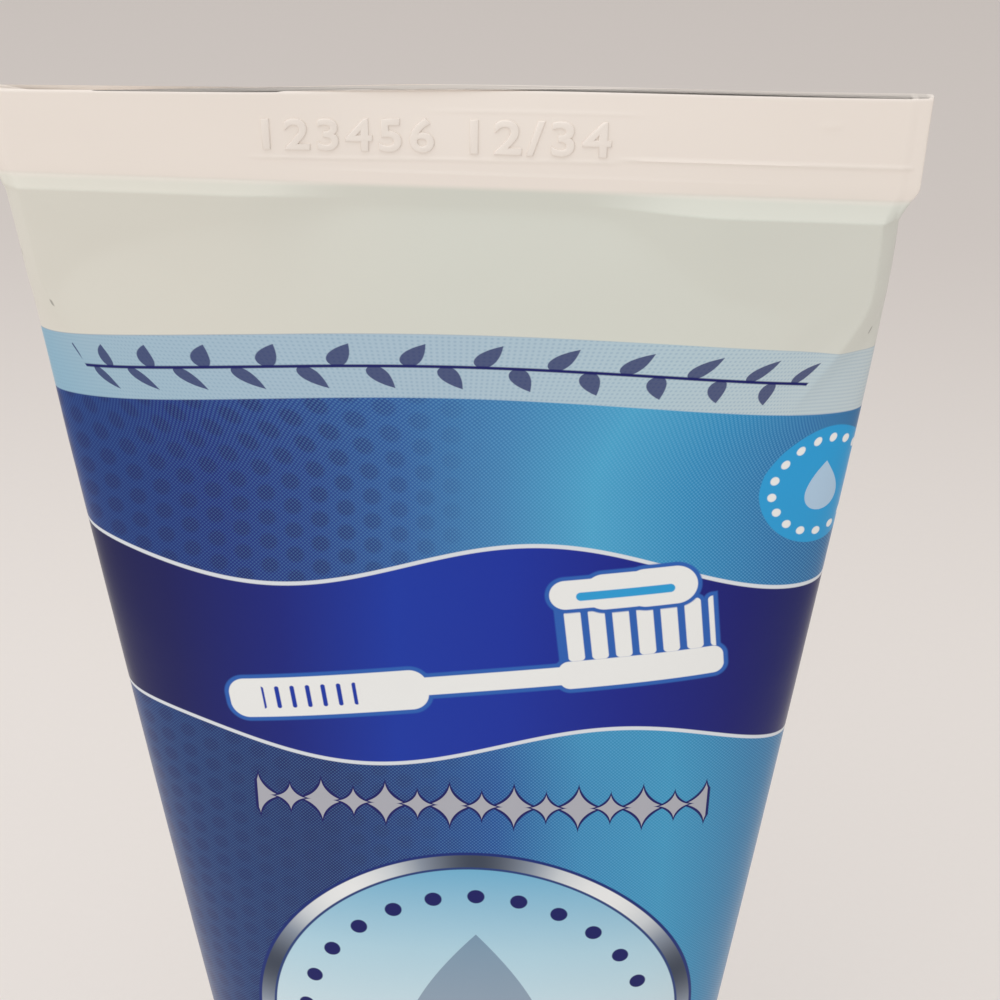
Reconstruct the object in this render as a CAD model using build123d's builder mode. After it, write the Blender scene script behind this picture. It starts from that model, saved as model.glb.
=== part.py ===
from build123d import *
import math
import os

os.makedirs("parts", exist_ok=True)

# A stand-up toothpaste tube: a printed laminate sleeve, sealed flat by a crimp at
# its tail, on a moulded shoulder and neck that snap into a flip-top cap.
# Frame: millimetres. The origin is the centre of the lid's flat top, on which the
# tube stands. +Z points at the crimp, the printed front faces -Y, and the lid's
# hinge is at the back, +Y.

# Sleeve
tube_radius = 17.5  # the round end, at the shoulder
wall = 0.45  # laminate
sleeve_foot = 24.0  # height of the sleeve's lower cut edge
straight = 12.0  # round stretch above the shoulder
taper_length = 105.0  # from the round end to the crimp
taper_power = 0.907  # half width against distance from the crimp; 1 is straight
squareness = 1.08  # section's power above a circle's 2, just under the crimp
edge_pinch = 3.0  # extra wall thicknesses in the side edges just under the crimp
crimp_height = 5.9
crimp_thickness = 1.0
crimp_root = 0.5  # the crimp's bar is sunk this far into the sleeve's closed end
crimp_overhang = 0.5  # the sleeve just under the bar is narrower than its sheet by this much each side
crimp_spread = 0.4  # the hot jaws press the bar wider than the sheet by this much each side
fold_depth = 0.9  # half the depth of the fold that the crimp's jaws leave under the bar

# Shoulder and neck
flange_thickness = 0.6
rim_wall = 0.8
rim_height = 3.0  # the sleeve is welded around this rim
shoulder_wall = 1.0
cone_drop = 2.8  # how far the shoulder slopes down to the neck
neck_radius = 6.6
neck_bore = 5.2
neck_end = 12.2
bead_height = 16.4
bead_proud = 0.4

# Cap base
cap_radius = 17.6
cap_wall = 1.5
lid_height = 9.0
parting_gap = 0.3  # between the closed lid and the base
base_top = 23.1
base_top_fillet = 0.5
deck_under = 10.6  # the deck's face towards the lid
deck_thickness = 1.4
spout_radius = 4.3
spout_tip = 8.0
orifice_radius = 2.5
seal_ring_end = 14.5  # ring on the deck that plugs the neck's bore
skirt_inner = 7.1
skirt_outer = 8.2
skirt_end = 19.2
snap_lip_radius = 6.8
closing_rim_depth = 2.4  # rim that stands inside the closed lid

# Lid
lid_top_thickness = 1.5
lid_edge_fillet = 1.2
parting_fillet = 0.25  # the two halves' outer edges at the parting line
plug_end = 10.2
plug_hollow = 1.3

# Hinge and thumb notch
hinge_width = 11.0
hinge_land = 0.25  # the hinge land stands this far out of the cap's side
land_height = 2.2
notch_width = 13.0
notch_depth = 0.8
notch_height = 3.4

# Paste
clearance = 0.1
headspace = 12.0  # air between the paste and the crimp

# Derived heights and radii
bore_radius = tube_radius - wall
taper_foot = sleeve_foot + straight
rim_top = sleeve_foot + rim_height
crimp_foot = taper_foot + taper_length
crimp_half_width = math.pi * tube_radius / 2
flange_under = sleeve_foot - flange_thickness
deck_over = deck_under + deck_thickness
base_foot = lid_height + parting_gap
hollow_radius = cap_radius - cap_wall
rim_outer = bore_radius - 1.5 * clearance
rim_radius = rim_outer - rim_wall
cone_slope = cone_drop / (bore_radius - neck_radius)
cone_foot = flange_under - cone_drop


def closeness(below):
    """1 at the crimp, falling to 0 at the round end and along the straight stretch."""
    return max(0.0, 1 - below / taper_length)


def section_power(below):
    """Power of the superellipse that the sleeve's section is, at a distance below the crimp."""
    return 2 + squareness * (1 - (1 - closeness(below)) ** 2)


def half_width(below):
    """Half the sleeve's width at a distance below the crimp."""
    spread = crimp_half_width - crimp_overhang - tube_radius
    return tube_radius + spread * closeness(below) ** taper_power


def superellipse(across, deep, power, steps=720):
    """Points around a superellipse of the given half width, half depth and power, from +X."""
    points = []
    for step in range(steps + 1):
        angle = math.tau * step / steps
        c, s = math.cos(angle), math.sin(angle)
        x = math.copysign(across * abs(c) ** (2 / power), c)
        y = math.copysign(deep * abs(s) ** (2 / power), s)
        points.append((x, y))
    return points


def lengths_along(points):
    """Distance travelled at each point of a closed ring."""
    travelled = [0.0]
    for here, there in zip(points, points[1:]):
        travelled.append(travelled[-1] + math.dist(here, there))
    return travelled


def half_outlines(across, deep, power, count=28):
    """The front and back halves of a section, each as points spaced evenly along it."""
    ring = superellipse(across, deep, power)
    travelled = lengths_along(ring)
    points = []
    for number in range(count):
        target = travelled[-1] * number / count
        i = max(index for index, length in enumerate(travelled) if length <= target)
        share = (target - travelled[i]) / (travelled[i + 1] - travelled[i])
        (x0, y0), (x1, y1) = ring[i], ring[i + 1]
        points.append((x0 + share * (x1 - x0), y0 + share * (y1 - y0)))
    return points[: count // 2 + 1], points[count // 2 :] + points[:1]


def half_depth(below):
    """Half the sleeve's depth: laminate doesn't stretch, so every section has the round end's girth."""
    across, power = half_width(below), section_power(below)
    girth = math.tau * tube_radius - 4 * crimp_overhang * closeness(below)
    low, high = 0.0, tube_radius + wall
    while high - low > 0.001:
        middle = (low + high) / 2
        if lengths_along(superellipse(across, middle, power))[-1] < girth:
            low = middle
        else:
            high = middle
    return math.hypot(low, fold_depth * closeness(below) ** 4)


def edge_wall(below):
    """The wall at the sleeve's two side edges, which are pinched together near the tail."""
    return wall * (1 + edge_pinch * closeness(below))


# The sleeve: a loft from the round end to the fold under the crimp's flat bar
full_length = taper_length + straight
stations = [full_length - 4, full_length - 8, taper_length - 4, 90, 75, 55, 38, 24, headspace, 5, 2]
with BuildPart() as sleeve:
    for below in [full_length, *stations, 0]:
        with BuildSketch(Plane.XY.offset(crimp_foot - below)):
            with BuildLine():
                across, deep, power = half_width(below), half_depth(below), section_power(below)
                for half in half_outlines(across, deep, power):
                    Spline(*half)
            make_face()
    loft()
    with BuildSketch(Plane.XY.offset(crimp_foot - crimp_root)):
        Rectangle(2 * (crimp_half_width + crimp_spread), crimp_thickness)
    extrude(amount=crimp_root + crimp_height)
    for below in [full_length + 1, *stations]:
        with BuildSketch(Plane.XY.offset(crimp_foot - below)):
            with BuildLine():
                across, deep = half_width(below) - edge_wall(below), half_depth(below) - wall
                for half in half_outlines(across, deep, section_power(below)):
                    Spline(*half)
            make_face()
    loft(mode=Mode.SUBTRACT)
sleeve.part.label = "sleeve"

# The shoulder: a flange under the sleeve's edge, a rim inside it, a cone and the neck
with BuildPart() as shoulder:
    with BuildSketch(Plane.XZ):
        with BuildLine():
            Polyline(
                (neck_bore, neck_end),
                (neck_radius, neck_end),
                (neck_radius, bead_height - bead_proud),
                (neck_radius + bead_proud, bead_height),
                (neck_radius + bead_proud, bead_height + bead_proud),
                (neck_radius, bead_height + 2 * bead_proud),
                (neck_radius, cone_foot),
                (bore_radius, flange_under),
                (tube_radius, flange_under),
                (tube_radius, sleeve_foot),
                (rim_outer, sleeve_foot),
                (rim_outer, rim_top),
                (rim_radius, rim_top),
                (rim_radius, flange_under + shoulder_wall - rim_wall * cone_slope),
                (neck_bore, cone_foot + shoulder_wall - (neck_radius - neck_bore) * cone_slope),
                close=True,
            )
        make_face()
    revolve(axis=Axis.Z)
shoulder.part.label = "shoulder"

# The paste: it fills the neck, the shoulder and the sleeve up to the headspace
paste_foot = rim_top + clearance
with BuildPart() as paste:
    for below in [crimp_foot - paste_foot, *stations[1:-2]]:
        with BuildSketch(Plane.XY.offset(crimp_foot - below)):
            with BuildLine():
                across = half_width(below) - edge_wall(below) - 2 * clearance
                deep = half_depth(below) - wall - 2 * clearance
                for half in half_outlines(across, deep, section_power(below)):
                    Spline(*half)
            make_face()
    loft()
    with BuildSketch(Plane.XZ):
        with BuildLine():
            Polyline(
                (0, deck_over + clearance),
                (spout_radius - clearance, deck_over + clearance),
                (spout_radius - clearance, seal_ring_end + clearance),
                (neck_bore - clearance, seal_ring_end + clearance),
                (neck_bore - clearance, cone_foot + shoulder_wall),
                (rim_radius - clearance, flange_under + shoulder_wall + clearance),
                (rim_radius - clearance, paste_foot),
                (0, paste_foot),
                close=True,
            )
        make_face()
    revolve(axis=Axis.Z)
paste.part.label = "paste"

# The cap base: side wall, deck with spout and orifice, and the skirt that snaps over the neck
with BuildPart() as cap_base:
    with BuildSketch(Plane.XY.offset(base_foot)):
        Circle(cap_radius)
        Circle(hollow_radius, mode=Mode.SUBTRACT)
    extrude(amount=base_top - base_foot)
    fillet(cap_base.edges().group_by(Axis.Z)[-1].sort_by(SortBy.RADIUS)[-1], radius=base_top_fillet)
    fillet(cap_base.edges().group_by(Axis.Z)[0].sort_by(SortBy.RADIUS)[-1], radius=parting_fillet)
    with BuildSketch(Plane.XY.offset(deck_under)):
        Circle(hollow_radius)
    extrude(amount=deck_thickness)
    with BuildSketch(Plane.XY.offset(deck_under - closing_rim_depth)):
        Circle(hollow_radius - parting_gap)
        Circle(hollow_radius - parting_gap - 1, mode=Mode.SUBTRACT)
        Circle(spout_radius)
    extrude(amount=closing_rim_depth)
    with BuildSketch(Plane.XY.offset(spout_tip)):
        Circle(spout_radius - 0.4)
    extrude(amount=deck_under - spout_tip)
    with BuildSketch(Plane.XZ):
        with BuildLine():
            Polyline(
                (skirt_inner, deck_over),
                (skirt_outer, deck_over),
                (skirt_outer, skirt_end),
                (skirt_inner, skirt_end),
                (snap_lip_radius, skirt_end - 0.6),
                (snap_lip_radius, skirt_end - 1.2),
                (skirt_inner, skirt_end - 1.5),
                close=True,
            )
        make_face()
    revolve(axis=Axis.Z)
    with BuildSketch(Plane.XY.offset(deck_over)):
        Circle(neck_bore - clearance)
        Circle(spout_radius, mode=Mode.SUBTRACT)
    extrude(amount=seal_ring_end - deck_over)
    with BuildSketch(Plane.XY.offset(base_foot)):
        with Locations((0, cap_radius)):
            Rectangle(hinge_width, 2 * hinge_land)
    extrude(amount=land_height)
    with BuildSketch(Plane.XY.offset(base_foot)):
        with Locations((0, -cap_radius)):
            Rectangle(notch_width, 2 * notch_depth)
    extrude(amount=notch_height, mode=Mode.SUBTRACT)
    with BuildSketch(Plane.XY.offset(spout_tip)):
        Circle(orifice_radius)
    extrude(amount=deck_over - spout_tip, mode=Mode.SUBTRACT)
cap_base.part.label = "cap_base"

# The lid: a shallow cup on whose flat top the tube stands, with a plug for the orifice
with BuildPart() as lid:
    with BuildSketch():
        Circle(cap_radius)
    extrude(amount=lid_height)
    fillet(lid.edges().group_by(Axis.Z)[0], radius=lid_edge_fillet)
    fillet(lid.edges().group_by(Axis.Z)[-1], radius=parting_fillet)
    with BuildSketch(Plane.XY.offset(lid_top_thickness)):
        Circle(hollow_radius)
    extrude(amount=lid_height - lid_top_thickness, mode=Mode.SUBTRACT)
    with BuildSketch(Plane.XY.offset(lid_top_thickness)):
        Circle(orifice_radius - parting_gap)
        Circle(plug_hollow, mode=Mode.SUBTRACT)
    extrude(amount=plug_end - lid_top_thickness)
    with BuildSketch(Plane.XY.offset(lid_height - land_height)):
        with Locations((0, cap_radius)):
            Rectangle(hinge_width, 2 * hinge_land)
    extrude(amount=land_height)
lid.part.label = "lid"

export_step(sleeve.part, "parts/sleeve.step")
export_step(shoulder.part, "parts/shoulder.step")
export_step(paste.part, "parts/paste.step")
export_step(cap_base.part, "parts/cap_base.step")
export_step(lid.part, "parts/lid.step")
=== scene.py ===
"""Looks of a stand-up toothpaste tube: a printed laminate sleeve with a crimped tail on a flip-top cap."""

import math

import bmesh
import bpy
import numpy as np
from mathutils import Matrix, Vector


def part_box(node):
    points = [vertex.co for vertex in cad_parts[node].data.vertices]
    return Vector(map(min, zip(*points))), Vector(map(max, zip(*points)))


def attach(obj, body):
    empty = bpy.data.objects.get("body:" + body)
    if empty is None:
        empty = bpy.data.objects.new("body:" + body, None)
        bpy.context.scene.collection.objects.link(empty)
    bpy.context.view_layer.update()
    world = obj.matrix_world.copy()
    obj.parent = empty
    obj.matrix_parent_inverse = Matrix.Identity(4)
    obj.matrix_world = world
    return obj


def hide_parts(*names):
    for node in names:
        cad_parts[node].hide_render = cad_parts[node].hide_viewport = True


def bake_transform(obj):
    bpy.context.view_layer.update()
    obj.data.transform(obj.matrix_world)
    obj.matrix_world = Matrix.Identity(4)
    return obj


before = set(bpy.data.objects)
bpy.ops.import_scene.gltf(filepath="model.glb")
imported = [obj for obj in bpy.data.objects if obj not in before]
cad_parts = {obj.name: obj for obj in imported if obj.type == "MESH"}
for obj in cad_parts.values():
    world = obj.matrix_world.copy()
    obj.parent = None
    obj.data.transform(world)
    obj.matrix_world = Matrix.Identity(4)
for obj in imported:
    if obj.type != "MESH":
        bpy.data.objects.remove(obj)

bl_info = {
    "name": "Toothpaste tube",
    "version": (1, 0, 0),
    "blender": (4, 5, 0),
    "location": "3D View > Sidebar > Tube",
    "description": "Builds a stand-up toothpaste tube's sleeve, print, crimp, cap and stage",
    "category": "Object",
}

# Lengths in this script are millimetres, and MM turns them to Blender's metres
MM = 0.001
SLEEVE_LOW, SLEEVE_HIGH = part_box("sleeve")
ROUND_RADIUS = 17.5
GIRTH = math.tau * ROUND_RADIUS
SHEET_HALF_WIDTH = GIRTH / 4
CRIMP_HEIGHT = 5.9
CRIMP_TOP = SLEEVE_HIGH.z / MM
CRIMP_FOOT = CRIMP_TOP - CRIMP_HEIGHT
FOOT = SLEEVE_LOW.z / MM
TAPER = 105.0
STAR_POWER = 0.62  # how hollow a sparkle's sides are; 1 is a plain diamond
STAMP_FOOT = 2.15  # the figures' foot, above the fold
FOLD_TILT = 0.0138  # the fold rises towards the left by this much per millimetre
TOP_TILT = 0.0096  # and the crimp's top towards the right
BAR_START = 0.9  # the bar is flat from here up


def linear(code):
    """Linear red, green, blue and alpha of an sRGB hex colour."""
    parts = [int(code[i : i + 2], 16) / 255 for i in (1, 3, 5)]
    return (*[c / 12.92 if c <= 0.04045 else ((c + 0.055) / 1.055) ** 2.4 for c in parts], 1.0)


# ---------------------------------------------------------------- settings


def colour(name, description, code):
    """A colour setting, from its sRGB hex code."""
    return bpy.props.FloatVectorProperty(
        name=name, description=description, subtype="COLOR", size=4, min=0, max=1, default=linear(code)
    )


def length(name, description, millimetres):
    """A length setting, from millimetres."""
    return bpy.props.FloatProperty(
        name=name, description=description, subtype="DISTANCE", unit="LENGTH", default=millimetres * MM
    )


class SleeveSettings(bpy.types.PropertyGroup):
    """Sizes of the sleeve's sheet of laminate and of its crimp."""

    wall: length("Wall", "Thickness of the laminate", 0.45)
    crimp_thickness: length("Crimp thickness", "Both walls, pressed together", 0.9)
    crimp_lean: length("Crimp lean", "How far the middle of the crimp's top leans back", 0.72)
    ledge_left: length("Left ledge", "How far the wall steps out under the crimp on the left", 0.75)
    ledge_right: length("Right ledge", "How far the wall steps out under the crimp on the right", 1.2)
    columns: bpy.props.IntProperty(name="Columns", description="Faces round the girth", default=374, min=50)


class StampSettings(bpy.types.PropertyGroup):
    """The plain numbers pressed into the crimp."""

    height: length("Height", "Height of a figure", 2.0)
    proud: length("Proud", "How far the figures stand out of the crimp", 0.13)


class PrintSettings(bpy.types.PropertyGroup):
    """Inks of the sleeve's print."""

    white: colour("White", "Unprinted laminate below the crimp", "#eeefea")
    crimp_white: colour("Crimp white", "Laminate that the hot jaws have pressed", "#f4ece4")
    navy: colour("Navy", "Darkest ink", "#0c1263")
    royal: colour("Royal", "Middle of the ribbon", "#1036a8")
    cyan: colour("Cyan", "Round spot and light dots", "#2aa0dc")
    paper: colour("Motifs", "White ink of the motifs", "#f0f2f1")
    screen_pitch: length("Screen pitch", "Distance between the halftone's dots", 0.19)


class CapSettings(bpy.types.PropertyGroup):
    """Finish of the cap."""

    plastic: colour("Plastic", "Moulded polypropylene", "#f1f0ed")
    paste: colour("Paste", "Mint paste", "#dbeef2")


class StageSettings(bpy.types.PropertyGroup):
    """Floor, lights and camera."""

    floor: colour("Floor", "Pale matt board", "#f0ebe7")
    surround: bpy.props.FloatProperty(
        name="Surround", description="Even light from all round", default=0.62, min=0
    )
    overhead: bpy.props.FloatProperty(name="Overhead light", description="Watts", default=2.6, min=0)
    front: bpy.props.FloatProperty(name="Front light", description="Watts", default=0.9, min=0)
    focal_length: bpy.props.FloatProperty(name="Focal length", description="Millimetres", default=62.3, min=1)


# ---------------------------------------------------------------- shape of the sleeve


def blend_in(value, start, end):
    """0 before start, 1 after end, and smooth between."""
    share = np.clip((value - start) / (end - start), 0, 1)
    return share * share * (3 - 2 * share)


def superellipse(across, deep, power, steps=1440):
    """A closed ring of points: it begins at the back's centre and runs by -X round to the front."""
    angle = np.linspace(0, math.tau, steps + 1)
    s, c = np.sin(angle), np.cos(angle)
    x = -np.sign(s) * np.abs(s) ** (2 / power) * across
    y = np.sign(c) * np.abs(c) ** (2 / power) * deep
    return np.stack([x, y], 1)


def travelled(ring):
    """Distance along a ring at each of its points."""
    steps = np.linalg.norm(np.diff(ring, axis=0), axis=1)
    return np.concatenate([[0.0], np.cumsum(steps)])


def half_depth(across, power):
    """Half the depth of a section: laminate doesn't stretch, so its girth is the round end's."""
    low, high = 0.0, ROUND_RADIUS * 1.05
    while high - low > 0.002:
        middle = (low + high) / 2
        if travelled(superellipse(across, middle, power, 720))[-1] < GIRTH:
            low = middle
        else:
            high = middle
    return low


def section(below):
    """Half width, half depth and power of the plain sleeve at a distance below the crimp."""
    near = min(max(0.0, 1 - below / TAPER), 1.0)
    across = min(ROUND_RADIUS + 10.08 * near**0.907, SHEET_HALF_WIDTH - 0.01)
    power = 2 + 1.08 * (1 - (1 - near) ** 2)
    return across, half_depth(across, power), power


def at_shares(ring, shares):
    """Points at the given shares of a ring's length."""
    along = travelled(ring)
    target = shares * along[-1]
    return np.stack([np.interp(target, along, ring[:, i]) for i in (0, 1)], 1)


def plain_ring(below, shares, thinner=0.0):
    """A section of the sleeve with no crimp, as points on the sheet's columns."""
    across, deep, power = section(below)
    return at_shares(superellipse(across - thinner, max(deep - thinner, 0.05), power), shares)


def fold_ring(below, shares, settings):
    """A section across the fold, where the crimp's thin bar opens into the sleeve."""
    half_bar = settings.crimp_thickness / MM / 2
    across, deep, power = section(below)
    bar_half_width = SHEET_HALF_WIDTH + 0.45
    opening = float(blend_in(below, -0.9, 1.3))
    pinch = math.exp(-max(below - 1, 0) / 4)
    tip_power = power + 7 * math.exp(-max(below + 0.9, 0) / 1.4)
    ring = at_shares(superellipse(1.0, 1.0, tip_power), shares)
    x, y = ring[:, 0], ring[:, 1]
    inset = np.where(x > 0, 0.6, 0.15) * pinch
    half = bar_half_width + (across - inset - bar_half_width) * opening
    x = x * half
    # each wall steps out under the bar: soft on the left, sharp on the right, not at all in the middle
    left, right = blend_in(-x, 5.5, 13), blend_in(x, 7.5, 17)
    step = left * settings.ledge_left / MM + right * settings.ledge_right / MM
    drop = 0.9 - 0.25 * left
    ramp = np.clip(below / drop, 0, 1)
    shelf = half_bar + step * ramp
    sharp = 4 + 8 * right
    grown = (np.full_like(x, max(deep, 0.02)) ** sharp + shelf**sharp) ** (1 / sharp)
    tip = np.clip(np.abs(y), 0, 1)
    fade = np.clip((half - np.abs(x)) / 1.1, 0, 1) ** 0.5
    depth = np.where(step > 0, np.maximum(tip * grown, fade * shelf * np.minimum(1, tip * 4)), tip * grown)
    return np.stack([x, np.sign(y) * depth], 1)


def column_shares(count):
    """Shares of the girth for the columns, from the back seam: closer at the two side folds."""
    even = np.linspace(0, 1, count + 1)
    return even + 0.045 * np.sin(8 * math.pi * even) / math.pi * 0.9


def lean(x, settings):
    """How far the crimp's top leans back: most in the middle, soon upright on the left."""
    return settings.crimp_lean / MM * blend_in(x, -13, 0) * (1 - blend_in(x, 1, 27))


def jaw_lines(height, x):
    """How proud the fine lines stand that the jaws and the number stamp press into the bar."""

    def line(at, width, proud):
        return proud * np.exp(-(((height - at) / width) ** 2))

    right = blend_in(x, 9.8, 10.8) * (1 - blend_in(x, 27.0, 27.5))
    under = blend_in(x, -12.2, -11.4) * (1 - blend_in(x, 9.4, 10.2))
    over = blend_in(x, -1.5, 0) * (1 - blend_in(x, 10.5, 11.8))
    bump = 0.12 * np.exp(-((x - 22.3) ** 2 + (height - 4.3) ** 2) / 0.05)
    ridge = right * line(2.05, 0.1, 0.09) + under * line(1.75 + 0.012 * x, 0.09, 0.06)
    return ridge + over * line(4.65, 0.09, 0.035) + bump


def stamp_face(x, height, settings):
    """Depth (Y) of the crimp's front face at a place across and a height above the fold."""
    half_bar = settings.crimp_thickness / MM / 2
    return lean(x, settings) * (height / CRIMP_HEIGHT) ** 1.5 - half_bar


# ---------------------------------------------------------------- helpers for objects


def start_piece(operator, **settings):
    """Adds a primitive with nothing else selected and returns its object."""
    bpy.ops.object.select_all(action="DESELECT")
    operator(**settings)
    return bpy.context.active_object


def edit(piece):
    """Opens a piece for editing with nothing selected."""
    bpy.ops.object.select_all(action="DESELECT")
    piece.select_set(True)
    bpy.context.view_layer.objects.active = piece
    bpy.ops.object.mode_set(mode="EDIT")
    bpy.ops.mesh.select_all(action="DESELECT")


def select_edges(piece, wanted):
    """In edit mode, selects the edges for which wanted(edge) is true."""
    bpy.ops.mesh.select_mode(type="EDGE")
    shell = bmesh.from_edit_mesh(piece.data)
    for edge in shell.edges:
        edge.select_set(wanted(edge))
    shell.select_flush_mode()
    bmesh.update_edit_mesh(piece.data)


def finish_piece(piece, name, body, slot, material, *nodes):
    """Names a piece, gives it its finish, parents it to what it rides on, and hides the CAD parts it stands for.
    """
    piece.name = name
    piece.data.name = name
    piece.data.materials.clear()
    piece.data.materials.append(material)
    bpy.ops.object.select_all(action="DESELECT")
    piece.select_set(True)
    bpy.context.view_layer.objects.active = piece
    bpy.ops.object.transform_apply(location=True, rotation=True, scale=True)
    if body:
        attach(piece, body)
    if nodes:
        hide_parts(*nodes)


# ---------------------------------------------------------------- helpers for materials


def add(tree, kind, inputs=None, **settings):
    """Adds a node with its settings and returns its first output; an input is a value or a socket."""
    made = tree.nodes.new("ShaderNode" + kind)
    for name, value in settings.items():
        setattr(made, name, value)
    for key, value in (inputs or {}).items():
        if isinstance(value, bpy.types.NodeSocket):
            tree.links.new(value, made.inputs[key])
        else:
            made.inputs[key].default_value = value
    return made.outputs[0] if made.outputs else made


def new_material(name):
    """A material with a Principled shader; returns it, its tree and the shader's inputs."""
    material = bpy.data.materials.new(name)
    material.use_nodes = True
    tree = material.node_tree
    tree.nodes.clear()
    surface = add(tree, "BsdfPrincipled")
    add(tree, "OutputMaterial", {"Surface": surface})
    return material, tree, surface.node.inputs


def lay(tree, under, ink, distance, edge, soft=0.05, strength=1.0):
    """Lays an ink over a colour where a distance is less than edge."""
    cover = add(
        tree,
        "MapRange",
        {0: distance, 1: edge + soft, 2: edge - soft, 3: 0.0, 4: strength},
        interpolation_type="SMOOTHSTEP",
    )
    return mixed(tree, cover, under, ink)


def mixed(tree, share, under, ink):
    """A colour that turns from under to ink."""
    made = add(tree, "Mix", {0: share, 6: under, 7: ink}, data_type="RGBA")
    return made.node.outputs[2]


def ink_fade(tree, share, codes):
    """Inks that follow each other evenly, from hex codes."""
    made = add(tree, "ValToRGB", {0: share})
    stops = made.node.color_ramp.elements
    for number, code in enumerate(codes):
        place = number / (len(codes) - 1)
        stop = stops[number] if number < 2 else stops.new(place)
        stop.position = place
        stop.color = linear(code)
    return made


def repeat(tree, point, pitch, shift=(0, 0, 0)):
    """Folds the sheet into cells of the given pitch, each with its middle at zero."""
    moved = add(tree, "VectorMath", {0: point, 1: shift}, operation="SUBTRACT")
    cells = add(tree, "VectorMath", {0: moved, 1: pitch}, operation="DIVIDE")
    part = add(tree, "VectorMath", {0: cells}, operation="FRACTION")
    centred = add(tree, "VectorMath", {0: part, 1: (0.5, 0.5, 0.5)}, operation="SUBTRACT")
    return add(tree, "VectorMath", {0: centred, 1: pitch}, operation="MULTIPLY")


def away(tree, point, centre=(0, 0), half=(0, 0), turn=0.0):
    """Distance from a rectangle of the given half sizes, which may be a bar or a point."""
    own = add(
        tree,
        "Mapping",
        {0: point, 1: (*centre, 0), 2: (0, 0, math.radians(turn))},
        vector_type="TEXTURE",
    )
    side = add(tree, "VectorMath", {0: own}, operation="ABSOLUTE")
    past = add(tree, "VectorMath", {0: side, 1: (*half, 1000.0)}, operation="SUBTRACT")
    outside = add(tree, "VectorMath", {0: past, 1: (0, 0, 0)}, operation="MAXIMUM")
    far = add(tree, "VectorMath", {0: outside}, operation="LENGTH")
    return far.node.outputs["Value"]


def drop_shape(tree, point, centre, height, half_width, turn=0.0):
    """Distance across from the edge of a drop that points up: less than 0 inside it."""
    own = add(
        tree,
        "Mapping",
        {0: point, 1: (*centre, 0), 2: (0, 0, math.radians(turn))},
        vector_type="TEXTURE",
    )
    split = add(tree, "SeparateXYZ", {0: own})
    down = split.node.outputs[1]
    share = add(tree, "MapRange", {0: down, 1: -height / 2, 2: height / 2})
    left = add(tree, "Math", {0: 1.0, 1: share}, operation="SUBTRACT")
    root = add(tree, "Math", {0: left}, operation="SQRT")
    swell = add(tree, "Math", {0: share, 1: root}, operation="MULTIPLY")
    wide = add(tree, "Math", {0: swell, 1: half_width / 0.385}, operation="MULTIPLY")
    side = add(tree, "Math", {0: split}, operation="ABSOLUTE")
    edge = add(tree, "Math", {0: side, 1: wide}, operation="SUBTRACT")
    frame_round = away(tree, point, centre, (half_width, height / 2), turn)
    return add(tree, "Math", {0: edge, 1: frame_round}, operation="MAXIMUM")


def star_shape(tree, point, reach):
    """Distance-like value of a four-pointed sparkle: less than 0 inside it."""
    side = add(tree, "VectorMath", {0: point}, operation="ABSOLUTE")
    split = add(tree, "SeparateXYZ", {0: side})
    x = add(tree, "Math", {0: split, 1: STAR_POWER}, operation="POWER")
    y = add(tree, "Math", {0: split.node.outputs[1], 1: STAR_POWER}, operation="POWER")
    both = add(tree, "Math", {0: x, 1: y}, operation="ADD")
    return add(tree, "Math", {0: both, 1: reach**STAR_POWER}, operation="SUBTRACT")


# ---------------------------------------------------------------- the print, in layers


def blue_field(tree, point, inks):
    """Graded blue ground: navy at the left, light right of the middle, with staggered dots and a screen. The
    grade is partly print and partly painted reflection.
    """
    split = add(tree, "SeparateXYZ", {0: point})
    x, y = split, split.node.outputs[1]
    share = add(tree, "MapRange", {0: x, 1: -27.5, 2: 27.5})
    # printed grade with painted reflection in it: the lighter blues right of the middle and towards the left edge
    # are partly painted reflection
    upper_print_and_reflection = ink_fade(
        tree,
        share,
        ["#17387e", "#0f2f7c", "#10277d", "#1b3a8a", "#2858a0",
         "#3a80b8", "#45a6d2", "#2a8cc2", "#2370ac", "#1c5c94"],
    )
    lower_print_and_reflection = ink_fade(
        tree,
        share,
        ["#1f3f7c", "#1a3674", "#142a6c", "#0f1964", "#0f2e7c",
         "#0f4898", "#3088bc", "#3698c6", "#2f7db0", "#2a6ca4"],
    )
    sink = add(tree, "MapRange", {0: y, 1: 24.0, 2: 46.0}, interpolation_type="SMOOTHSTEP")
    field = mixed(tree, sink, upper_print_and_reflection, lower_print_and_reflection)
    # dots 1.2 mm across, 1.8 mm apart in columns that are offset by half
    fade = add(tree, "MapRange", {0: x, 1: 2.0, 2: -8.0, 3: 0.0, 4: 0.55})
    for shift in ((0.0, 0.0, 0.0), (1.75, 0.9, 0.0)):
        spot = away(tree, repeat(tree, point, (3.5, 1.8, 1.0), shift))
        cover = add(tree, "MapRange", {0: spot, 1: 0.78, 2: 0.4}, interpolation_type="SMOOTHSTEP")
        cover = add(tree, "Math", {0: cover, 1: fade}, operation="MULTIPLY")
        field = mixed(tree, cover, field, linear("#0a0f5e"))
    # the halftone: fine light dots at 45 degrees, stronger where the blue is lighter
    pitch = inks.screen_pitch / MM
    turned = add(tree, "Mapping", {0: point, 2: (0, 0, math.radians(45))})
    spot = away(tree, repeat(tree, turned, (pitch, pitch, 1.0)))
    cover = add(tree, "MapRange", {0: spot, 1: pitch * 0.5, 2: pitch * 0.2, 3: 0.0, 4: 1.0})
    power = add(tree, "MapRange", {0: x, 1: -24.0, 2: 8.0, 3: 0.10, 4: 0.32})
    cover = add(tree, "Math", {0: cover, 1: power}, operation="MULTIPLY")
    return mixed(tree, cover, field, linear("#7fc4ea"))


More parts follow.
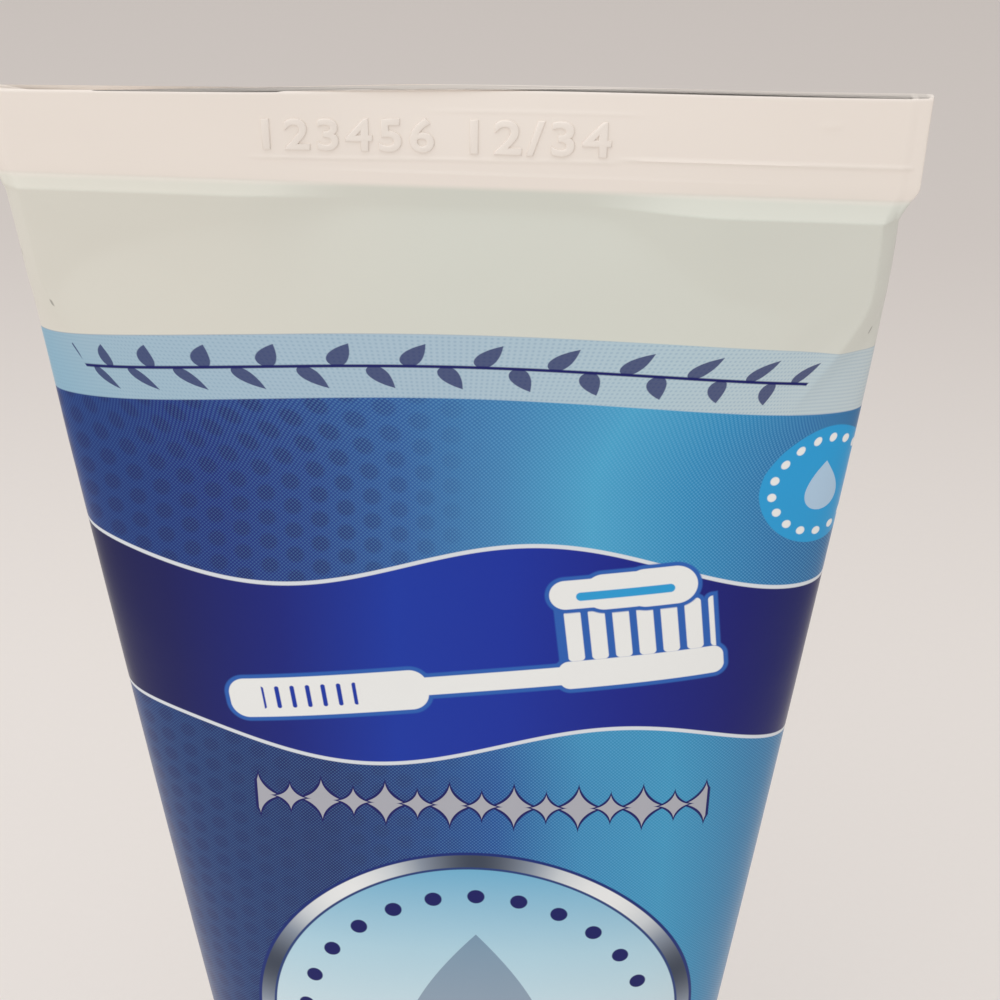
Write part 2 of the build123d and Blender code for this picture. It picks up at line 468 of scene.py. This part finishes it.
def pale_stripe(tree, point, inks, under):
    """A pale stripe across the top of the field, screened on a square grid, with a navy sprig of drops."""
    split = add(tree, "SeparateXYZ", {0: point})
    x, y = split, split.node.outputs[1]
    share = add(tree, "MapRange", {0: x, 1: -27.5, 2: 27.5})
    # the pale tint lightens towards the right: partly print, partly painted highlight
    ground = ink_fade(tree, share, ["#8cb8d0", "#a4c2d4", "#aac4d6", "#b0c8d8", "#b8cfda", "#c4d4da", "#ccd8dc"])
    spot = away(tree, repeat(tree, point, (0.25, 0.25, 1.0)))
    ground = lay(tree, ground, linear("#86a8c2"), spot, 0.06, 0.05, 0.5)
    # the stripe's edges bow up in the middle, with the sheet
    turn = add(tree, "Math", {0: x, 1: math.tau / 44}, operation="MULTIPLY")
    bow = add(tree, "Math", {0: turn}, operation="COSINE")
    bow = add(tree, "Math", {0: bow, 1: -0.5}, operation="MULTIPLY")
    from_top = add(tree, "Math", {0: y, 1: bow}, operation="SUBTRACT")
    middle = add(tree, "Math", {0: from_top, 1: 12.05}, operation="SUBTRACT")
    across = add(tree, "Math", {0: middle}, operation="ABSOLUTE")
    # a stem with drops on alternate sides, 22 mm to each side of the middle
    own = add(tree, "CombineXYZ", {0: x, 1: middle, 2: 0.0})
    reach = away(tree, own, (-1.0, 0), (19.5, 5.0))
    stem = add(tree, "Math", {0: across, 1: reach}, operation="MAXIMUM")
    ground = lay(tree, ground, tuple(inks.navy), stem, 0.1)
    for shift, side, turned in (((0.0, 0, 0), -0.75, 35.0), ((1.6, 0, 0), 0.75, 145.0)):
        cell = repeat(tree, own, (3.2, 40.0, 1.0), (shift[0], 20.0, 0))
        leaf = drop_shape(tree, cell, (0.0, side), 1.7, 0.42, turned)
        leaf = add(tree, "Math", {0: leaf, 1: reach}, operation="MAXIMUM")
        ground = lay(tree, ground, tuple(inks.navy), leaf, 0.02, 0.04)
    striped = lay(tree, under, ground, across, 2.12)
    return lay(tree, striped, white_top(tree, x, y, inks), middle, -2.12)


def white_top(tree, x, y, inks):
    """Unprinted laminate: cooler below the fold, warmer where the hot jaws have pressed it. Below the fold a
    painted reflection makes it lighter and warmer towards the left.
    """
    share = add(tree, "MapRange", {0: x, 1: -27.5, 2: 27.5})
    # painted reflection: the white below the fold is lighter and warmer towards the left
    tone_with_painted_light = ink_fade(tree, share, ["#f2ede8", "#f1eee8", "#eeece6", "#e9ebe6", "#e9ebe6", "#eaebe7", "#ebebe8"])
    tone_with_painted_light = add(tree, "Mix", {0: 1.0, 6: tone_with_painted_light, 7: tuple(inks.white)}, data_type="RGBA", blend_type="MULTIPLY")
    return lay(tree, tone_with_painted_light.node.outputs[2], tuple(inks.crimp_white), y, 0.0, 0.25)


def ribbon(tree, point, inks, under):
    """A navy and royal ribbon that waves round the tube between two white lines."""
    split = add(tree, "SeparateXYZ", {0: point})
    x, y = split, split.node.outputs[1]
    share = add(tree, "MapRange", {0: x, 1: -27.5, 2: 27.5})
    ground = ink_fade(
        tree,
        share,
        ["#0f1041", "#10145c", "#102080", "#1036a8", "#0f2fa3", "#0f1f8c", "#0f1470", "#101951"],
    )
    turn = add(tree, "Math", {0: x, 1: 3 * math.tau / GIRTH}, operation="MULTIPLY")
    wave = add(tree, "Math", {0: turn}, operation="SINE")
    wave = add(tree, "Math", {0: wave, 1: -1.5, 2: 32.9}, operation="MULTIPLY_ADD")
    middle = add(tree, "Math", {0: y, 1: wave}, operation="SUBTRACT")
    across = add(tree, "Math", {0: middle}, operation="ABSOLUTE")
    pinch = add(tree, "Math", {0: turn}, operation="COSINE")
    across = add(tree, "Math", {0: pinch, 1: -0.9, 2: across}, operation="MULTIPLY_ADD")
    field = lay(tree, under, linear("#dfe5ec"), across, 7.3)
    return lay(tree, field, ground, across, 7.0)


def toothbrush(tree, point, inks, under):
    """A white toothbrush with a stripe of paste, as the front's main motif."""
    own = add(
        tree, "Mapping", {0: point, 1: (1.2, 33.4, 0), 2: (0, 0, math.radians(-7))}, vector_type="TEXTURE"
    )
    white, halo = tuple(inks.paper), linear("#2a62b8")
    handle = away(tree, own, (-10.2, 1.6), (5.8, 0.35))
    neck = away(tree, own, (0.5, 1.4), (7.0, 0.0))
    head = away(tree, own, (11.6, 1.4), (4.9, 0.35))
    tufts = repeat(tree, own, (1.62, 100.0, 1.0), (0.0, 50.0, 0.0))
    tuft = away(tree, tufts, (0.0, -1.7), (0.26, 1.7))
    window = away(tree, own, (11.6, -1.2), (4.9, 3.0))
    tuft = add(tree, "Math", {0: tuft, 1: window}, operation="MAXIMUM")
    outlines = ((handle, 1.25), (neck, 0.72), (head, 0.75), (tuft, 0.3))
    for distance, radius in outlines:
        under = lay(tree, under, halo, distance, radius + 0.32, 0.08)
    for distance, radius in outlines:
        under = lay(tree, under, white, distance, radius)
    grip = away(tree, repeat(tree, own, (1.1, 100.0, 1.0), (0.0, 50.0, 0.0)), (0.0, 1.6), (0.0, 0.75))
    grip = add(tree, "Math", {0: grip, 1: away(tree, own, (-11.5, 1.6), (3.2, 1.4))}, operation="MAXIMUM")
    under = lay(tree, under, tuple(inks.royal), grip, 0.16)
    # the paste: a soft wave on the tufts
    for place, size in ((8.0, 1.1), (10.6, 1.35), (13.4, 1.45)):
        lump = away(tree, own, (place, -4.9), (1.0, 0.0))
        under = lay(tree, under, halo, lump, size + 0.3, 0.08)
    for place, size in ((8.0, 1.1), (10.6, 1.35), (13.4, 1.45)):
        lump = away(tree, own, (place, -4.9), (1.0, 0.0))
        under = lay(tree, under, white, lump, size)
    stripe = away(tree, own, (11.0, -4.7), (3.0, 0.0))
    return lay(tree, under, tuple(inks.cyan), stripe, 0.32)


def sparkles(tree, point, inks, under):
    """A row of white four-pointed sparkles with a navy edge."""
    window = away(tree, point, (2.0, 45.2), (16.2, 3.0))
    for shift, reach in ((0.0, 1.75), (2.3, 1.15)):
        cell = repeat(tree, point, (4.6, 100.0, 1.0), (2.0 + shift, 45.2 + 50.0, 0.0))
        star = star_shape(tree, cell, reach)
        star = add(tree, "Math", {0: star, 1: window}, operation="MAXIMUM")
        under = lay(tree, under, tuple(inks.navy), star, 0.22, 0.04)
        under = lay(tree, under, tuple(inks.paper), star, 0.0, 0.04)
    return under


def medallion(tree, point, inks, under):
    """A round pale badge with a silver rim, its shine painted as light and dark bands, and one navy drop."""
    centre = (1.6, 66.6)
    far = away(tree, point, centre)
    angle = add(tree, "VectorMath", {0: point, 1: (*centre, 0)}, operation="SUBTRACT")
    split = add(tree, "SeparateXYZ", {0: angle})
    turn = add(tree, "Math", {0: split.node.outputs[1], 1: split}, operation="ARCTAN2")
    # painted reflection: the silver rim's shine, as light and dark bands round the ring
    sheen = add(tree, "Math", {0: turn, 1: 5.0}, operation="MULTIPLY")
    sheen = add(tree, "Math", {0: sheen}, operation="SINE")
    sheen = add(tree, "MapRange", {0: sheen, 1: -1.0, 2: 1.0})
    silver = ink_fade(tree, sheen, ["#3c4658", "#8b96a6", "#cfd6dc", "#eef1f2"])
    under = lay(tree, under, linear("#0e2a78"), far, 17.25)
    under = lay(tree, under, silver, far, 17.0)
    under = lay(tree, under, linear("#27407c"), far, 15.9)
    inside = add(tree, "MapRange", {0: split.node.outputs[1], 1: -16.0, 2: 16.0})
    pale = ink_fade(tree, inside, ["#6fb4d8", "#b4d9ea", "#d4e8f0", "#9fcfe4", "#5aa8d2"])
    under = lay(tree, under, pale, far, 15.7)
    # beads that follow the rim
    steps = add(tree, "Math", {0: turn, 1: 26.0}, operation="MULTIPLY")
    bead_x = add(tree, "Math", {0: steps, 1: 1 / math.tau}, operation="MULTIPLY")
    ring = add(tree, "CombineXYZ", {0: bead_x, 1: far, 2: 0.0})
    cell = repeat(tree, ring, (1.0, 100.0, 1.0), (0.0, 13.2 + 50.0, 0.0))
    sized = add(tree, "VectorMath", {0: cell, 1: (3.1, 1.0, 1.0)}, operation="MULTIPLY")
    under = lay(tree, under, tuple(inks.navy), away(tree, sized), 0.62)
    drop = drop_shape(tree, point, (1.6, 65.5), 17.0, 5.6)
    under = lay(tree, under, tuple(inks.navy), drop, 0.0)
    under = lay(tree, under, linear("#2f86c8"), drop, -0.9, 0.6, 0.8)
    return lay(tree, under, tuple(inks.paper), away(tree, point, (-0.6, 67.5), (0.0, 2.0), 12.0), 0.55)


def spot_badge(tree, point, inks, under):
    """A round cyan spot near the right side fold, with a white drop in a ring of dots."""
    centre = (24.2, 19.8)
    far = away(tree, point, centre)
    under = lay(tree, under, tuple(inks.cyan), far, 4.3)
    offset = add(tree, "VectorMath", {0: point, 1: (*centre, 0)}, operation="SUBTRACT")
    split = add(tree, "SeparateXYZ", {0: offset})
    turn = add(tree, "Math", {0: split.node.outputs[1], 1: split}, operation="ARCTAN2")
    steps = add(tree, "Math", {0: turn, 1: 18 / math.tau}, operation="MULTIPLY")
    ring = add(tree, "CombineXYZ", {0: steps, 1: far, 2: 0.0})
    cell = repeat(tree, ring, (1.0, 100.0, 1.0), (0.0, 3.45 + 50.0, 0.0))
    sized = add(tree, "VectorMath", {0: cell, 1: (1.2, 1.0, 1.0)}, operation="MULTIPLY")
    under = lay(tree, under, tuple(inks.paper), away(tree, sized), 0.3)
    return lay(tree, under, tuple(inks.paper), drop_shape(tree, point, centre, 3.6, 1.15), 0.0)


def printed_laminate(inks):
    """Plastic laminate, offset printed and varnished: screened inks under a satin gloss."""
    material, tree, shader = new_material("printed_plastic_laminate")
    sheet = add(tree, "UVMap", uv_map="sheet")
    # the sheet in millimetres: X along the girth from the front's middle, Y down from the fold
    total = CRIMP_TOP - FOOT
    point = add(
        tree, "Mapping", {0: sheet, 1: (-GIRTH / 2, total - CRIMP_HEIGHT, 0), 3: (GIRTH, -total, 1)}
    )
    colour_here = blue_field(tree, point, inks)
    colour_here = ribbon(tree, point, inks, colour_here)
    colour_here = toothbrush(tree, point, inks, colour_here)
    colour_here = sparkles(tree, point, inks, colour_here)
    colour_here = medallion(tree, point, inks, colour_here)
    colour_here = spot_badge(tree, point, inks, colour_here)
    colour_here = pale_stripe(tree, point, inks, colour_here)
    # handling marks on the white
    for place, size in (((-26.4, 4.5), 0.16), ((-23.0, 5.2), 0.13), ((-19.2, 8.3), 0.1), ((22.5, 9.0), 0.14)):
        speck = away(tree, point, place, (0.05, 0.12), 20.0)
        colour_here = lay(tree, colour_here, linear("#8f8d86"), speck, size, 0.08, 0.7)
    tree.links.new(colour_here, shader["Base Color"])
    shader["Roughness"].default_value = 0.3
    shader["Specular IOR Level"].default_value = 0.22
    shader["Coat Weight"].default_value = 0.06
    shader["Coat Roughness"].default_value = 0.1
    # the laminate is never quite flat: a slow ripple and a fine orange peel
    ripple = add(tree, "TexNoise", {"Vector": point, "Scale": 0.16, "Detail": 1.0})
    peel = add(tree, "TexNoise", {"Vector": point, "Scale": 2.2, "Detail": 2.0})
    height = add(tree, "Math", {0: peel, 1: 0.03, 2: ripple}, operation="MULTIPLY_ADD")
    bump = add(tree, "Bump", {"Height": height, "Strength": 0.35, "Distance": 0.0004})
    tree.links.new(bump, shader["Normal"])
    return material


def moulded_plastic(name, code, roughness, waxy):
    """Injection-moulded polyolefin: waxy white, with the mould's fine spark-eroded grain."""
    material, tree, shader = new_material(name)
    place = add(tree, "TexCoord").node.outputs["Object"]
    grain = add(tree, "TexNoise", {"Vector": place, "Scale": 2500.0, "Detail": 2.0})
    cloud = add(tree, "TexNoise", {"Vector": place, "Scale": 60.0, "Detail": 1.0})
    tint = add(tree, "MapRange", {0: cloud, 3: 0.96, 4: 1.0})
    base = add(tree, "Mix", {0: 1.0, 6: code, 7: tint}, data_type="RGBA", blend_type="MULTIPLY")
    tree.links.new(base.node.outputs[2], shader["Base Color"])
    bump = add(tree, "Bump", {"Height": grain, "Strength": 0.12, "Distance": 0.00004})
    tree.links.new(bump, shader["Normal"])
    shader["Roughness"].default_value = roughness
    shader["Subsurface Weight"].default_value = waxy
    shader["Subsurface Radius"].default_value = (0.001, 0.001, 0.001)
    return material


# ---------------------------------------------------------------- operators


class TUBE_OT_sleeve(bpy.types.Operator):
    """Roll a flat sheet of laminate into the sleeve and crimp its tail"""

    bl_idname = "tube.sleeve"
    bl_label = "Sleeve"

    def execute(self, context):
        settings = context.scene.tube_sleeve
        shares = column_shares(settings.columns)
        inner = np.array([4.0, 7.0, 12.0, 20.0, 30.0, 44.0, 60.0, 78.0, 96.0, TAPER, CRIMP_FOOT - FOOT])
        full = CRIMP_FOOT - FOOT
        outer = np.concatenate(
            [
                np.linspace(full, 8, 74),
                np.linspace(8, 3, 13)[1:],
                np.linspace(3, -BAR_START, 50)[1:],
            ]
        )
        bar = np.linspace(BAR_START, CRIMP_HEIGHT - 0.1, 48)[1:]
        rows, sheet_rows = [], []
        for below in inner:
            ring = plain_ring(below, shares, settings.wall / MM * (1 + 2 * max(0, 1 - below / TAPER)))
            rows.append(np.column_stack([ring, np.full(len(ring), CRIMP_FOOT - below)]))
        for below in outer:
            ring = plain_ring(below, shares) if below > 20 else self.near_crimp(below, shares, settings)
            tilt = FOLD_TILT * ring[:, 0] * (1 - blend_in(below, 0, 8))
            rows.append(np.column_stack([ring, CRIMP_FOOT - below - tilt]))
        for height in [*bar, CRIMP_HEIGHT]:
            ring = fold_ring(-1.0, shares, settings)
            x, front = ring[:, 0], ring[:, 1] < 0
            up = (height - BAR_START) / (CRIMP_HEIGHT - BAR_START)
            ring[:, 1] *= 1 - 0.22 * (height == CRIMP_HEIGHT)
            ring[:, 1] -= front * jaw_lines(height, x)
            ring[:, 1] += lean(x, settings) * (height / CRIMP_HEIGHT) ** 1.5
            tilt = -FOLD_TILT * x * (1 - up) + TOP_TILT * x * up
            rows.append(np.column_stack([ring, CRIMP_FOOT + height + tilt]))
        place = np.array(rows)
        sheet = self.sheet_places(inner, outer, [*bar, CRIMP_HEIGHT], shares)
        piece = start_piece(
            bpy.ops.mesh.primitive_grid_add,
            x_subdivisions=settings.columns,
            y_subdivisions=len(place) - 1,
            size=1,
            calc_uvs=True,
        )
        self.roll(piece, place, sheet)
        self.close(piece)
        bpy.ops.object.shade_smooth_by_angle(angle=math.radians(55))
        laminate = printed_laminate(context.scene.tube_print)
        finish_piece(piece, "printed_sleeve", "tube", "printed_laminate", laminate, "sleeve")
        return {"FINISHED"}

    def near_crimp(self, below, shares, settings):
        """Between the fold and the plain sleeve, one shape turns into the other."""
        fold = fold_ring(below, shares, settings)
        plain = plain_ring(below, shares)
        share = blend_in(below, 6, 20)
        return fold + (plain - fold) * share

    def sheet_places(self, inner, outer, bar, shares):
        """The printed sheet's own coordinates: along the girth, and along each column from the fold."""
        total = CRIMP_TOP - FOOT
        plain = []
        for below in np.maximum(outer, 0):
            height = np.full(len(shares), -below)
            plain.append(np.column_stack([plain_ring(below, shares), height]))
        steps = np.linalg.norm(np.diff(np.array(plain), axis=0), axis=2)
        down = np.vstack([np.cumsum(steps[::-1], axis=0)[::-1], np.zeros((1, len(shares)))])
        down += np.minimum(outer, 0)[:, None]
        inside = np.repeat(down[:1], len(inner), axis=0)
        on_bar = [np.full(len(shares), -height) for height in bar]
        down = np.vstack([inside, down, on_bar])
        across = np.broadcast_to(shares, down.shape)
        return np.stack([across, (total - CRIMP_HEIGHT - down) / total], 2)

    def roll(self, piece, place, sheet):
        """Moves the flat grid's points to their places round the sleeve, a job no operator does."""
        mesh = piece.data
        if len(mesh.vertices) != place.shape[0] * place.shape[1]:
            raise RuntimeError("the sheet's grid isn't the size that was asked for")
        mesh.vertices.foreach_set("co", (place * MM).astype(np.float32).ravel())
        corners = np.zeros(len(mesh.loops), np.int32)
        mesh.loops.foreach_get("vertex_index", corners)
        layer = mesh.uv_layers.active
        layer.name = "sheet"
        layer.data.foreach_set("uv", sheet.reshape(-1, 2)[corners].astype(np.float32).ravel())
        mesh.update()

    def close(self, piece):
        """Welds the back seam, then closes the crimp's top and the inside under the fold."""
        edit(piece)
        bpy.ops.mesh.select_all(action="SELECT")
        bpy.ops.mesh.remove_doubles(threshold=0.002 * MM)
        above = (CRIMP_FOOT + 1.0) * MM

        def same_side(edge, top):
            if not edge.is_boundary:
                return False
            one, two = edge.verts
            return (one.co.z > above) == top and (edge_side(one, top) == edge_side(two, top))

        def edge_side(point, top):
            middle = lean(point.co.x / MM, bpy.context.scene.tube_sleeve) * MM if top else 0.0
            return point.co.y > middle

        for top in (True, False):
            select_edges(piece, lambda edge: same_side(edge, top))
            bpy.ops.mesh.bridge_edge_loops()
        bpy.ops.mesh.select_all(action="SELECT")
        bpy.ops.mesh.normals_make_consistent(inside=False)
        bpy.ops.object.mode_set(mode="OBJECT")


class TUBE_OT_stamp(bpy.types.Operator):
    """Press two groups of plain numbers into the crimp"""

    bl_idname = "tube.stamp"
    bl_label = "Stamped numbers"

    def execute(self, context):
        settings = context.scene.tube_stamp
        groups = []
        for body, start, end in (("123456", -11.25, -1.0), ("12/34", 1.1, 9.5)):
            bpy.ops.object.select_all(action="DESELECT")
            bpy.ops.object.text_add()
            text = context.active_object
            text.data.body = body
            text.data.size = settings.height / 0.73
            text.data.space_character = 1.18
            text.data.extrude = 0.05 * MM
            text.data.bevel_depth = 0.07 * MM
            text.data.bevel_resolution = 2
            text.data.resolution_u = 5
            bpy.ops.object.convert(target="MESH")
            text = context.active_object
            co = np.zeros(len(text.data.vertices) * 3, np.float32)
            text.data.vertices.foreach_get("co", co)
            co = co.reshape(-1, 3) / MM
            low, high = co.min(0), co.max(0)
            x = start + (co[:, 0] - low[0]) / (high[0] - low[0]) * (end - start)
            height = STAMP_FOOT + (co[:, 1] - low[1])
            proud = (co[:, 2] - low[2]) / (high[2] - low[2]) * 0.24 - 0.11
            y = stamp_face(x, height, context.scene.tube_sleeve) - proud
            up = (height - BAR_START) / (CRIMP_HEIGHT - BAR_START)
            z = CRIMP_FOOT + height - FOLD_TILT * x * (1 - up) + TOP_TILT * x * up
            text.data.vertices.foreach_set("co", (np.stack([x, y, z], 1) * MM).astype(np.float32).ravel())
            text.data.update()
            groups.append(text)
        for text in groups:
            text.select_set(True)
        bpy.ops.object.join()
        piece = context.active_object
        edit(piece)
        bpy.ops.mesh.select_all(action="SELECT")
        bpy.ops.mesh.remove_doubles(threshold=0.001 * MM)
        bpy.ops.mesh.normals_make_consistent(inside=False)
        bpy.ops.object.mode_set(mode="OBJECT")
        bpy.ops.object.shade_smooth_by_angle(angle=math.radians(60))
        plain = moulded_plastic("pressed_plastic_laminate", tuple(context.scene.tube_print.crimp_white), 0.3, 0.0)
        finish_piece(piece, "stamped_numbers", "tube", "printed_laminate", plain)
        return {"FINISHED"}


class TUBE_OT_cap(bpy.types.Operator):
    """Finish the flip-top cap with its hinge, the shoulder and the paste"""

    bl_idname = "tube.cap"
    bl_label = "Cap and shoulder"

    def execute(self, context):
        settings = context.scene.tube_cap
        white = moulded_plastic("moulded_polypropylene", tuple(settings.plastic), 0.36, 0.05)
        finishes = {
            "cap_base": white,
            "lid": white,
            "shoulder": moulded_plastic("moulded_polyethylene", linear("#ecebe6"), 0.45, 0.05),
            "paste": moulded_plastic("mint_paste", tuple(settings.paste), 0.25, 0.1),
        }
        for node, finish in finishes.items():
            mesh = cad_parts[node].data
            mesh.materials.clear()
            mesh.materials.append(finish)
        self.hinge(white)
        return {"FINISHED"}

    def hinge(self, white):
        """The thin web that joins the lid to the base, cut into thin bands up its height."""
        piece = start_piece(
            bpy.ops.mesh.primitive_cube_add, size=1, location=(0, 17.72 * MM, 9.15 * MM)
        )
        piece.scale = (10.4 * MM, 0.22 * MM, 2.4 * MM)
        bpy.ops.object.transform_apply(location=True, rotation=True, scale=True)
        edit(piece)
        bpy.ops.mesh.select_all(action="SELECT")
        bpy.ops.mesh.bevel(offset=0.06 * MM, segments=2)
        bpy.ops.mesh.select_all(action="SELECT")
        for step in range(1, 16):
            bpy.ops.mesh.select_all(action="SELECT")
            height = (9.15 - 1.2 + 2.4 * step / 16) * MM
            bpy.ops.mesh.bisect(plane_co=(0, 0, height), plane_no=(0, 0, 1))
        bpy.ops.object.mode_set(mode="OBJECT")
        bpy.ops.object.shade_smooth_by_angle(angle=math.radians(40))
        finish_piece(piece, "hinge_web", None, "white_polypropylene", white)
        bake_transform(piece)


class TUBE_OT_stage(bpy.types.Operator):
    """Set up the floor, the lights and the camera"""

    bl_idname = "tube.stage"
    bl_label = "Stage"

    def execute(self, context):
        settings = context.scene.tube_stage
        self.sweep(settings)
        self.soft_box("overhead", (-0.10, -0.10, 0.75), 0.9, settings.overhead)
        self.soft_box("front", (-0.35, -0.7, 0.35), 0.7, settings.front)
        world = bpy.data.worlds.new("studio")
        world.use_nodes = True
        background = world.node_tree.nodes["Background"]
        background.inputs[0].default_value = linear("#fbf7f4")
        background.inputs[1].default_value = settings.surround
        context.scene.world = world
        self.camera(context, settings)
        return {"FINISHED"}

    def sweep(self, settings):
        """A flat matt board under the tube."""
        piece = start_piece(bpy.ops.mesh.primitive_plane_add, size=4.0)
        edit(piece)
        bpy.ops.mesh.select_all(action="SELECT")
        bpy.ops.mesh.subdivide(number_cuts=1)
        bpy.ops.object.mode_set(mode="OBJECT")
        material, tree, shader = new_material("matt_board")
        place = add(tree, "TexCoord").node.outputs["Object"]
        grain = add(tree, "TexNoise", {"Vector": place, "Scale": 900.0, "Detail": 3.0})
        tint = add(tree, "MapRange", {0: grain, 3: 0.985, 4: 1.0})
        # painted shade: the board's colour darkens softly towards its far side, where less light falls on it
        split = add(tree, "SeparateXYZ", {0: place})
        far = add(
            tree, "MapRange", {0: split.node.outputs[1], 1: 0.10, 2: 0.30}, interpolation_type="SMOOTHSTEP"
        )
        tone_with_painted_light = mixed(tree, far, tuple(settings.floor), linear("#ddd7d3"))
        base = add(tree, "Mix", {0: 1.0, 6: tone_with_painted_light, 7: tint}, data_type="RGBA", blend_type="MULTIPLY")
        tree.links.new(base.node.outputs[2], shader["Base Color"])
        shader["Roughness"].default_value = 0.9
        shader["Specular IOR Level"].default_value = 0.1
        piece.name = "floor"
        piece.data.materials.append(material)

    def soft_box(self, name, place, size, power):
        """A square soft box aimed at the crimp."""
        bpy.ops.object.light_add(type="AREA", location=place)
        lamp = bpy.context.active_object
        lamp.name = name
        lamp.data.energy = power
        lamp.data.size = size
        towards = Vector((0, 0, CRIMP_FOOT * MM)) - Vector(place)
        lamp.rotation_euler = towards.to_track_quat("-Z", "Y").to_euler()

    def camera(self, context, settings):
        """Close in front of the crimp and above it, looking down at the printed front."""
        bpy.ops.object.camera_add()
        camera = bpy.context.active_object
        camera.data.sensor_width = 36.0
        camera.data.lens = settings.focal_length
        camera.data.clip_start = 0.005
        roll, down, side = 0.03414, 0.61283, 0.05702
        turns = ((math.pi / 2, "X"), (roll, "Z"), (-down, "X"), (side, "Y"))
        facing = Matrix.Identity(4)
        for angle, axis in turns:
            facing = facing @ Matrix.Rotation(angle, 4, axis)
        place = Vector((7.312, -96.147, 185.591)) * MM
        camera.matrix_world = Matrix.Translation(place) @ facing
        context.scene.camera = camera
        # the studio's plain colours, with no film curve over them
        context.scene.view_settings.view_transform = "Standard"


class TUBE_PT_panel(bpy.types.Panel):
    """The tube's settings and the operators that build it"""

    bl_idname = "TUBE_PT_panel"
    bl_label = "Toothpaste tube"
    bl_space_type = "VIEW_3D"
    bl_region_type = "UI"
    bl_category = "Tube"

    def draw(self, context):
        for group in GROUPS:
            box = self.layout.box()
            settings = getattr(context.scene, group)
            for name in settings.bl_rna.properties.keys():
                if name not in ("rna_type", "name"):
                    box.prop(settings, name)
        for operator in OPERATORS:
            self.layout.operator(operator.bl_idname)


GROUPS = {
    "tube_sleeve": SleeveSettings,
    "tube_stamp": StampSettings,
    "tube_print": PrintSettings,
    "tube_cap": CapSettings,
    "tube_stage": StageSettings,
}
OPERATORS = (TUBE_OT_sleeve, TUBE_OT_stamp, TUBE_OT_cap, TUBE_OT_stage)
CLASSES = (*GROUPS.values(), *OPERATORS, TUBE_PT_panel)


def register():
    for kind in CLASSES:
        bpy.utils.register_class(kind)
    for name, group in GROUPS.items():
        setattr(bpy.types.Scene, name, bpy.props.PointerProperty(type=group))


def unregister():
    for name in GROUPS:
        delattr(bpy.types.Scene, name)
    for kind in reversed(CLASSES):
        bpy.utils.unregister_class(kind)


def main():
    """Builds every piece in order."""
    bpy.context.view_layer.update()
    register()
    bpy.ops.tube.sleeve()
    bpy.ops.tube.stamp()
    bpy.ops.tube.cap()
    bpy.ops.tube.stage()


if __name__ == "__main__":
    main()
